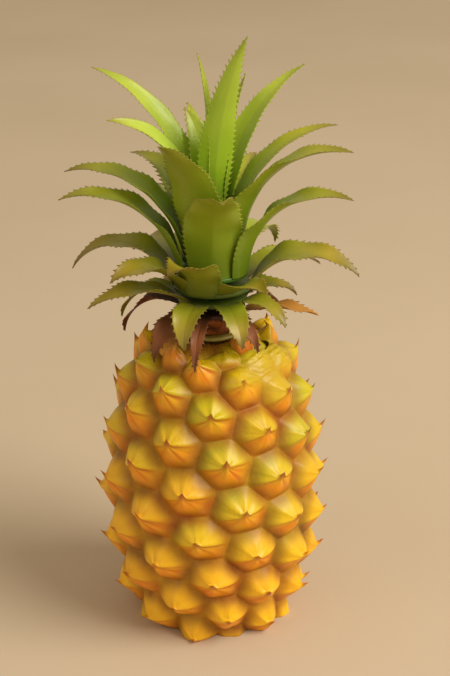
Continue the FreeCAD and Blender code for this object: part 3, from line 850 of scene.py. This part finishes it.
def build_rosette(name):
    """All the leaves of one rosette and their hub, as two moulded pieces."""
    height = hub_height(name)
    root_radius, _, power, root_share, leaves = ROSETTES[name]
    luck = random.Random(name)
    points, faces, start = [], [], 0
    masks = {mask: [] for mask in ("along", "across", "under", "tint", "thorn")}
    for index, leaf in enumerate(leaves):
        radius = root_radius + ROOT_STAGGER * (index % 2)
        loop, values = leaf_points(radius, height, power, root_share, leaf, luck, CURL[name])
        if name == "dry_rosette":
            pale = leaf[0] == PALE_DRY_LEAF
            values["tint"] = np.full_like(values["tint"], 2.0) if pale else 0.2 * values["tint"]
        rows, columns = loop.shape[:2]
        points.append(loop.reshape(-1, 3))
        faces += grid_faces(rows, columns, start, around=True)
        faces += cap_faces(start, columns) + cap_faces(start + (rows - 1) * columns, columns)
        for mask in masks:
            masks[mask].append(values[mask].ravel())
        start += rows * columns
    thing = make_object(name.replace("rosette", "leaves"), np.vstack(points) * MM, faces,
                        {mask: np.concatenate(values) for mask, values in masks.items()})
    tidy_mesh(thing, weld=1e-8)
    low, high = height - HUB_HEIGHT / 2, height + HUB_HEIGHT / 2
    outside = root_radius + ROOT_STAGGER
    hub = turned(name.replace("rosette", "hub"),
                 [(ROD_HOLE, low), (outside, low), (outside, high), (ROD_HOLE, high)], corner_share=0.2)
    return thing, hub


leaf_pieces = {name: build_rosette(name) for name in ROSETTES}

# %% [markdown]
# ## Leaf finish
# The leaves are dyed in the mould and then tinted: deep green where they clasp the stem, a clear yellow
# green along the blade, and a brown touch at the tip and on the thorns. One function paints all of them,
# from the soft young leaves in the middle to the brown dead ones below.

# %% Leaf paint
def leaf_finish(name, deep, bright, late, tip, tip_start, roughness, under, coat=0.25, faded=None):
    """Colours run from deep at the root through bright and late to the tip; under is the lower face."""
    finish = Finish(name, roughness, Coat_Weight=coat, Coat_Roughness=0.22, Specular_IOR_Level=0.45)
    along = finish.mask("along")
    ramp = finish.node("ShaderNodeValToRGB")
    finish.link(along, ramp.inputs["Fac"])
    stops = ramp.color_ramp.elements
    stops[0].position, stops[0].color = 0.06, deep
    stops[1].position, stops[1].color = 0.36, bright
    for position, colour in ((tip_start, late), (0.985, tip)):
        stop = stops.new(position)
        stop.color = colour
    tinted = finish.mix(finish.times(finish.mask("tint"), 0.45), ramp.outputs["Color"], faded or late)
    drift = finish.mix(finish.blotches(55.0, 0.0, 0.3), tinted, deep)
    # fine lines run along the blade
    lines = finish.node("ShaderNodeMath", operation="SINE")
    finish.link(finish.times(finish.mask("across"), 70.0, clamp=False), lines.inputs[0])
    veined = finish.mix(finish.times(finish.plus(lines.outputs[0], 1.0, clamp=False), 0.07), drift, deep)
    paler = finish.mix(finish.times(finish.mask("under"), 0.5), veined, under)
    thorned = finish.mix(finish.times(finish.mask("thorn"), 0.55), paler, tip)
    finish.colour(thorned)
    finish.roughness(finish.blotches(180.0, roughness - 0.06, roughness + 0.1))
    finish.peel(900.0, 0.35, 0.00025)
    return finish.material


YOUNG_LEAF = leaf_finish("young_leaf", paint(74, 124, 24), paint(172, 208, 50), paint(194, 206, 66),
                         paint(160, 146, 40), 0.86, 0.40, paint(132, 158, 20))
GREEN_LEAF = leaf_finish("green_leaf", paint(66, 108, 22), paint(164, 196, 44), paint(180, 176, 44),
                         paint(124, 84, 32), 0.80, 0.42, paint(118, 138, 20))
OLD_LEAF = leaf_finish("old_leaf", paint(78, 98, 14), paint(156, 166, 26), paint(176, 154, 36),
                       paint(96, 58, 24), 0.70, 0.45, paint(118, 120, 22))
DRY_LEAF = leaf_finish("dry_leaf", paint(70, 34, 14), paint(104, 52, 22), paint(140, 76, 30),
                       paint(84, 42, 20), 0.72, 0.6, paint(100, 52, 22), coat=0.05, faded=paint(222, 158, 66))
LEAF_PAINT = {"dry_rosette": (DRY_LEAF, "dry_leaf"), "skirt_rosette": (OLD_LEAF, "old_leaf"),
              "low_rosette": (OLD_LEAF, "old_leaf"), "spread_rosette": (GREEN_LEAF, "green_leaf"),
              "middle_rosette": (GREEN_LEAF, "green_leaf"), "upper_rosette": (GREEN_LEAF, "green_leaf"),
              "inner_rosette": (YOUNG_LEAF, "young_leaf"), "heart_rosette": (YOUNG_LEAF, "young_leaf")}
for name, pieces in leaf_pieces.items():
    material, slot = LEAF_PAINT[name]
    for piece in pieces:
        piece.data.materials.append(material)
        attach(piece, "crown")
    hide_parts(name)

# %% [markdown]
# ## Skin finish
# The skin is painted in layers: yellow all over, green drifting in near the crown, orange on the lower half
# of each eye (partly the fruit's own colour, partly painted shade where the faces turn down), olive brown
# painted shade in the valleys and around the neck, red brown painted shade in the grooves and under each lip,
# and a touch of red brown on each spike. A thin varnish goes over everything. Each layer is one mix, steered
# by the masks made with the mesh.

# %% Skin paint
def skin_finish():
    finish = Finish("fruit_skin", 0.42, Coat_Weight=0.25, Coat_Roughness=0.24, Specular_IOR_Level=0.4)
    yellow = finish.mix(finish.blotches(60.0), paint(246, 180, 4), paint(252, 200, 12))
    orange = finish.mix(finish.blotches(90.0), paint(246, 132, 4), paint(250, 156, 8))
    green = finish.mix(finish.mask("green"), yellow, paint(170, 176, 8))
    riper = finish.mix(finish.times(finish.mask("ripe"), 0.45), green, paint(240, 156, 6))
    brushed = finish.mix(finish.times(finish.mask("ray"), 0.35), riper, paint(250, 208, 30))
    # orange on the lower lobes: partly the fruit's own colour, partly painted shade where the faces turn down
    lower = finish.mix(finish.times(finish.mask("lower"), finish.blotches(130.0, 0.4, 0.85)), brushed, orange)
    # painted shade: olive brown darkens the valleys, the neck under the crown and the fruitlet's foot
    shade_colour = finish.mix(finish.blotches(26.0), paint(136, 96, 4), paint(154, 80, 4))
    painted_shade = finish.mix(finish.times(finish.mask("painted_shade"), finish.blotches(70.0, 0.55, 1.0)), lower, shade_colour)
    # painted shade: red brown in the grooves and under each lip
    crease_shaded = finish.mix(finish.times(finish.mask("crease_shade"), 0.7), painted_shade, paint(186, 64, 8))
    spike = finish.mix(finish.times(finish.mask("spike"), finish.blotches(200.0, 0.5, 0.9)), crease_shaded,
                       paint(158, 66, 24))
    finish.colour(spike)
    dull_valley = finish.times(finish.mask("painted_shade"), 0.3)
    finish.roughness(finish.plus(finish.blotches(150.0, 0.36, 0.52), dull_valley))
    finish.peel(420.0, 0.6, 0.0005)
    return finish.material


SKIN_PAINT = skin_finish()
moulded_skin.data.materials.append(SKIN_PAINT)
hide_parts("fruit_skin")
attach(moulded_skin, "fruit")

# %% [markdown]
# ## The shoulder around the neck
# Above the last full eyes the skin gathers into folds and runs in to the neck, where it was trimmed by hand.
# It is turned like the other round pieces, with folds that die out towards the neck, and fine wrinkles
# where the varnish pooled. One small fruitlet stands up beside the stalk.

# %% Shoulder
SHOULDER = [(12.7, 150.0), (12.9, 152.2), (15.2, 153.0), (19.5, 153.2), (25.0, 150.6), (31.5, 144.0),
            (34.0, 138.0), (27.0, 141.0), (19.0, 149.75)]


def gather_folds(angle, radius, height):
    """Folds that grow outward from the neck, and shallow wrinkles on top of them."""
    spread = smooth_step(14 * MM, 26 * MM, radius)
    fold = np.abs(np.sin(angle * 4.5 + 0.6 + 0.35 * np.sin(angle * 2))) ** 0.8
    edge = np.sin(angle * 11 + 2 * np.sin(angle * 3)) + 0.6 * np.sin(angle * 29 + 1.0)
    wrinkle = np.sin(angle * 47 + radius / MM * 1.7) * np.sin(radius / MM * 2.4 + angle * 5)
    height = height + (spread * (fold - 0.5) * 2.6 + 0.35 * edge * (1 - spread) + 0.22 * wrinkle) * MM
    return radius + (1 - spread) * 0.25 * edge * MM * (radius > 14 * MM), height


def shoulder_green(angle, radius, height):
    return smooth_step(-0.2, 0.9, facing(angle, -48)) * smooth_step(15 * MM, 20 * MM, radius)


def shoulder_shadow(angle, radius, height):
    """Painted shadow around the neck, under the crown: brown, darkest at the trimmed edge."""
    place = np.stack([radius * np.cos(angle), radius * np.sin(angle), height], axis=-1)
    return np.maximum(smooth_step(19 * MM, 13 * MM, radius) * 0.9, crown_shadow(place))


shoulder = turned("neck_shoulder", SHOULDER, 360, fine=9, corner_share=0.45, wobble=gather_folds, masks={
    "green": shoulder_green, "painted_shade": shoulder_shadow,
    # painted shade: the orange of the lower lobes is laid on the side of the shoulder that faces away from
    # the light
    "lower": lambda angle, radius, height: 0.5 - 0.5 * facing(angle, -40),
    "ripe": lambda angle, radius, height: 0 * angle + 0.5})
shoulder.data.materials.append(SKIN_PAINT)
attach(shoulder, "fruit")


# %% Fruitlet beside the stalk
FRUITLET_AZIMUTH = math.radians(-50)
FRUITLET_DISTANCE = 21.5    # millimetres from the axis
FRUITLET_RADIUS = 5.6
FRUITLET_FOOT = 151.0
FRUITLET_HEIGHT = 6.6


def build_fruitlet():
    """A small lumpy bump with a pinched top, grown out of the shoulder."""
    luck = random.Random(7)
    around, rows = 40, 18
    angle = np.linspace(0, WHOLE_TURN, around, endpoint=False)[None, :]
    climb = np.linspace(0, 1, rows)[:, None]
    lobes = 1 + 0.08 * np.sin(3 * angle + 0.7) + 0.05 * np.sin(7 * angle + climb * 4)
    radius = FRUITLET_RADIUS * np.cos(climb * math.pi / 2) ** 0.75 * lobes
    height = FRUITLET_FOOT + FRUITLET_HEIGHT * np.sin(climb * math.pi / 2)
    height = height + 0.3 * np.sin(angle * 5 + climb * 9)
    centre = np.array([math.cos(FRUITLET_AZIMUTH), math.sin(FRUITLET_AZIMUTH)]) * FRUITLET_DISTANCE
    lean = 1.6 * climb ** 2
    points = np.stack([centre[0] + radius * np.cos(angle) - lean, centre[1] + radius * np.sin(angle) - lean,
                       height + 0 * angle], axis=-1)
    # painted shade on the fruitlet: orange and red brown on one side, fading towards the top, and olive brown
    # at its foot
    shade = np.clip(0.5 + 0.6 * np.cos(angle + 0.3) * (1 - climb), 0, 1).ravel()
    foot = np.broadcast_to(1 - climb, points.shape[:2]).ravel()
    thing = make_object("neck_fruitlet", points.reshape(-1, 3) * MM, grid_faces(rows, around, around=True), {
        "lower": shade, "painted_shade": foot * 0.8, "crease_shade": shade * 0.7,
        "ripe": np.full(shade.size, luck.uniform(0.8, 1.0))})
    tidy_mesh(thing, weld=1e-5)
    return thing


fruitlet = build_fruitlet()
fruitlet.data.materials.append(SKIN_PAINT)
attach(fruitlet, "fruit")

# %% [markdown]
# ## Stalk, collar and bud
# The stalk is a stub of brown fibrous plastic standing on a pale ring cut like the flesh of the fruit. The
# bud closes the middle of the crown with a few wrapped scales. All three are turned to their CAD boxes.

# %% Stalk
INSET = 0.05                # millimetres that a turned piece stays inside its CAD box
stalk_low, stalk_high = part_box("crown_stalk")
STALK_RADIUS = stalk_high.x / MM
STALK_BOTTOM, STALK_TOP = stalk_low.z / MM, stalk_high.z / MM


def stalk_fibres(angle, radius, height):
    share = (height / MM - STALK_BOTTOM) / (STALK_TOP - STALK_BOTTOM)
    fibre = np.sin(angle * 34 + 3 * np.sin(angle * 3 + share * 2)) + 0.7 * np.sin(angle * 61 + share * 5)
    scar = np.exp(-((share - 0.55 - 0.12 * np.sin(angle * 5)) / 0.06) ** 2)
    outer = radius > 6 * MM
    return radius + outer * (0.18 * fibre - 0.7 * scar - 0.25) * MM, height


def stalk_dark(angle, radius, height):
    return smooth_step(0.1, 1.0, np.sin(angle * 5 + height / MM) * 0.5 + 0.5)


stalk = turned("stalk_fibres", [
    (2.3, STALK_BOTTOM + INSET), (STALK_RADIUS - 1.2, STALK_BOTTOM + INSET),
    (STALK_RADIUS - 0.2, STALK_BOTTOM + 2.0), (STALK_RADIUS - 0.9, STALK_BOTTOM + 4.5),
    (STALK_RADIUS - 0.2, STALK_TOP - 1.6), (STALK_RADIUS - 1.5, STALK_TOP - INSET),
    (2.3, STALK_TOP - INSET)], around=288, fine=9, wobble=stalk_fibres, masks={"dark": stalk_dark})
stalk_paint = Finish("stalk_fibre", 0.6, Specular_IOR_Level=0.35, Coat_Weight=0.1, Coat_Roughness=0.3)
stalk_paint.colour(stalk_paint.mix(
    stalk_paint.times(stalk_paint.mask("dark"), stalk_paint.blotches(220.0, 0.2, 1.0)),
    stalk_paint.mix(stalk_paint.blotches(120.0), paint(176, 104, 30), paint(150, 78, 26)), paint(84, 44, 18)))
stalk_paint.roughness(stalk_paint.blotches(300.0, 0.5, 0.75))
stalk_paint.peel(700.0, 0.6, 0.0004)
stalk.data.materials.append(stalk_paint.material)
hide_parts("crown_stalk")
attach(stalk, "crown")

# %% Cut ring
ring_low, ring_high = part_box("crown_collar")
RING_RADIUS, RING_BOTTOM, RING_TOP = ring_high.x / MM, ring_low.z / MM, ring_high.z / MM


def ring_wave(angle, radius, height):
    wave = np.sin(angle * 3 + 0.5) * 0.5 + np.sin(angle * 8 + 1.1) * 0.3 + np.sin(angle * 19) * 0.15
    return radius + (radius > 8 * MM) * (wave * 0.3 - 0.3) * MM, height


cut_ring = turned("cut_ring", [
    (2.4, RING_BOTTOM + 0.03), (RING_RADIUS - 0.6, RING_BOTTOM + 0.03), (RING_RADIUS, RING_BOTTOM + 1.1),
    (RING_RADIUS - 0.5, RING_TOP - INSET), (2.4, RING_TOP - INSET)], around=180, fine=7, wobble=ring_wave)
ring_paint = Finish("cut_flesh", 0.4, Specular_IOR_Level=0.45, Coat_Weight=0.15, Coat_Roughness=0.25)
ring_paint.colour(ring_paint.mix(ring_paint.blotches(140.0), paint(196, 180, 96), paint(168, 160, 66)))
ring_paint.roughness(ring_paint.blotches(200.0, 0.34, 0.5))
ring_paint.peel(500.0, 0.5, 0.0004)
cut_ring.data.materials.append(ring_paint.material)
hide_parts("crown_collar")
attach(cut_ring, "crown")

# %% Bud
bud_low, bud_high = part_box("heart_bud")
BUD_RADIUS, BUD_BOTTOM, BUD_TOP = bud_high.x / MM, bud_low.z / MM, bud_high.z / MM
BUD_HEIGHT = BUD_TOP - BUD_BOTTOM


def bud_share(height):
    return (height / MM - BUD_BOTTOM) / BUD_HEIGHT


def wrapped_scales(angle, radius, height):
    """Overlapping scales: each edge spirals up and steps in."""
    saw = (angle / WHOLE_TURN * 3 + bud_share(height) * 1.6) % 1.0
    return radius * (0.90 + 0.10 * (1 - saw)), height


bud = turned("bud_scales", [
    (2.2, BUD_BOTTOM + INSET), (BUD_RADIUS * 0.85, BUD_BOTTOM + INSET),
    (BUD_RADIUS, BUD_BOTTOM + BUD_HEIGHT * 0.35), (BUD_RADIUS * 0.55, BUD_TOP - 1.6),
    (0.15, BUD_TOP - 0.1), (0.1, BUD_BOTTOM + 5.0), (2.2, BUD_BOTTOM + 4.6)],
    around=120, fine=9, wobble=wrapped_scales, masks={
        "along": lambda angle, radius, height: bud_share(height) * 0.8})
bud.data.materials.append(YOUNG_LEAF)
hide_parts("heart_bud")
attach(bud, "crown")

# %% [markdown]
# ## Inner pieces
# The socket, the peg, the foam, the foot, the spacers and the steel stem keep their CAD shapes. They show
# only when the crown is lifted off or the fruit is turned over, but each still gets the finish of its stuff:
# dull moulded plastic, beaded foam, and drawn steel.

# %% Inner paints
def plastic(name, first, second, roughness):
    finish = Finish(name, roughness, Specular_IOR_Level=0.4)
    finish.colour(finish.mix(finish.blotches(60.0), first, second))
    finish.roughness(finish.blotches(220.0, roughness - 0.08, roughness + 0.1))
    finish.peel(600.0, 0.4, 0.0003)
    return finish.material


def bead_foam():
    """White foam of pressed beads: each bead is a cell, raised in its middle."""
    finish = Finish("bead_foam", 0.85, Specular_IOR_Level=0.25)
    place = finish.node("ShaderNodeTexCoord")
    beads = finish.node("ShaderNodeTexVoronoi")
    beads.inputs["Scale"].default_value = 320.0
    finish.link(place.outputs["Object"], beads.inputs["Vector"])
    finish.colour(finish.mix(beads.outputs["Distance"], paint(244, 240, 230), paint(206, 200, 186)))
    bump = finish.node("ShaderNodeBump", invert=True)
    bump.inputs["Strength"].default_value = 0.7
    bump.inputs["Distance"].default_value = 0.0008
    finish.link(beads.outputs["Distance"], bump.inputs["Height"])
    finish.link(bump.outputs["Normal"], finish.shader.inputs["Normal"])
    return finish.material


def drawn_steel():
    """Steel wire drawn through a die: fine scratches run along it."""
    finish = Finish("drawn_steel", 0.3, Metallic=1.0)
    place = finish.node("ShaderNodeTexCoord")
    stretch = finish.node("ShaderNodeMapping")
    stretch.inputs["Scale"].default_value = (2500.0, 2500.0, 40.0)
    scratches = finish.node("ShaderNodeTexNoise")
    scratches.inputs["Scale"].default_value = 1.0
    finish.link(place.outputs["Object"], stretch.inputs["Vector"])
    finish.link(stretch.outputs["Vector"], scratches.inputs["Vector"])
    finish.colour(finish.mix(scratches.outputs["Fac"], paint(176, 174, 170), paint(140, 138, 134)))
    finish.roughness(finish.times(finish.plus(scratches.outputs["Fac"], 0.2), 0.5))
    return finish.material


INNER_PAINT = {
    "foam_core": bead_foam(),
    "stem_rod": drawn_steel(),
    "base_foot": plastic("foot_plastic", paint(196, 168, 60), paint(182, 150, 48), 0.5),
    "neck_socket": plastic("socket_plastic", paint(122, 92, 34), paint(100, 74, 28), 0.5),
}
INNER_PAINT["crown_peg"] = INNER_PAINT["neck_socket"]
SPACER_PAINT = plastic("spacer_green", paint(84, 116, 24), paint(66, 96, 18), 0.45)
for name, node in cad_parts.items():
    if name in INNER_PAINT or name.startswith("spacer"):
        node.data.materials.clear()
        node.data.materials.append(INNER_PAINT.get(name, SPACER_PAINT))

# %% [markdown]
# ## Floor and light
# A plain pale floor, warm like paper. One broad soft light stands high at the front right, a weaker one
# fills the left, and the world around gives an even warm glow.

# %% Floor
FLOOR_SIZE = 8.0
bpy.ops.mesh.primitive_plane_add(size=FLOOR_SIZE)
floor = bpy.context.object
floor.name = "floor"
floor_paint = Finish("floor_paper", 0.85, Specular_IOR_Level=0.2)
floor_paint.colour(floor_paint.mix(floor_paint.blotches(3.0), paint(198, 180, 154), paint(204, 186, 162)))
floor.data.materials.append(floor_paint.material)


# %% Lights
def soft_light(name, place, aim, size, power, colour):
    lamp = bpy.data.lights.new(name, "AREA")
    lamp.shape = "DISK"
    lamp.energy, lamp.size, lamp.color = power, size, colour
    thing = bpy.data.objects.new(name, lamp)
    thing.location = place
    thing.rotation_euler = (Vector(aim) - Vector(place)).to_track_quat("-Z", "Y").to_euler()
    bpy.context.collection.objects.link(thing)


soft_light("key", (1.9, -0.9, 1.95), (0, 0, 0.15), 2.1, 78.0, (1.0, 0.94, 0.84))
soft_light("fill", (-1.8, -1.6, 1.2), (0, 0, 0.15), 1.6, 4.0, (1.0, 0.95, 0.86))
world = bpy.data.worlds.new("warm_room")
bpy.context.scene.world = world
world.use_nodes = True
background = world.node_tree.nodes["Background"]
background.inputs["Color"].default_value = paint(255, 238, 210)
background.inputs["Strength"].default_value = 0.52
bpy.context.scene.view_settings.view_transform = "Standard"
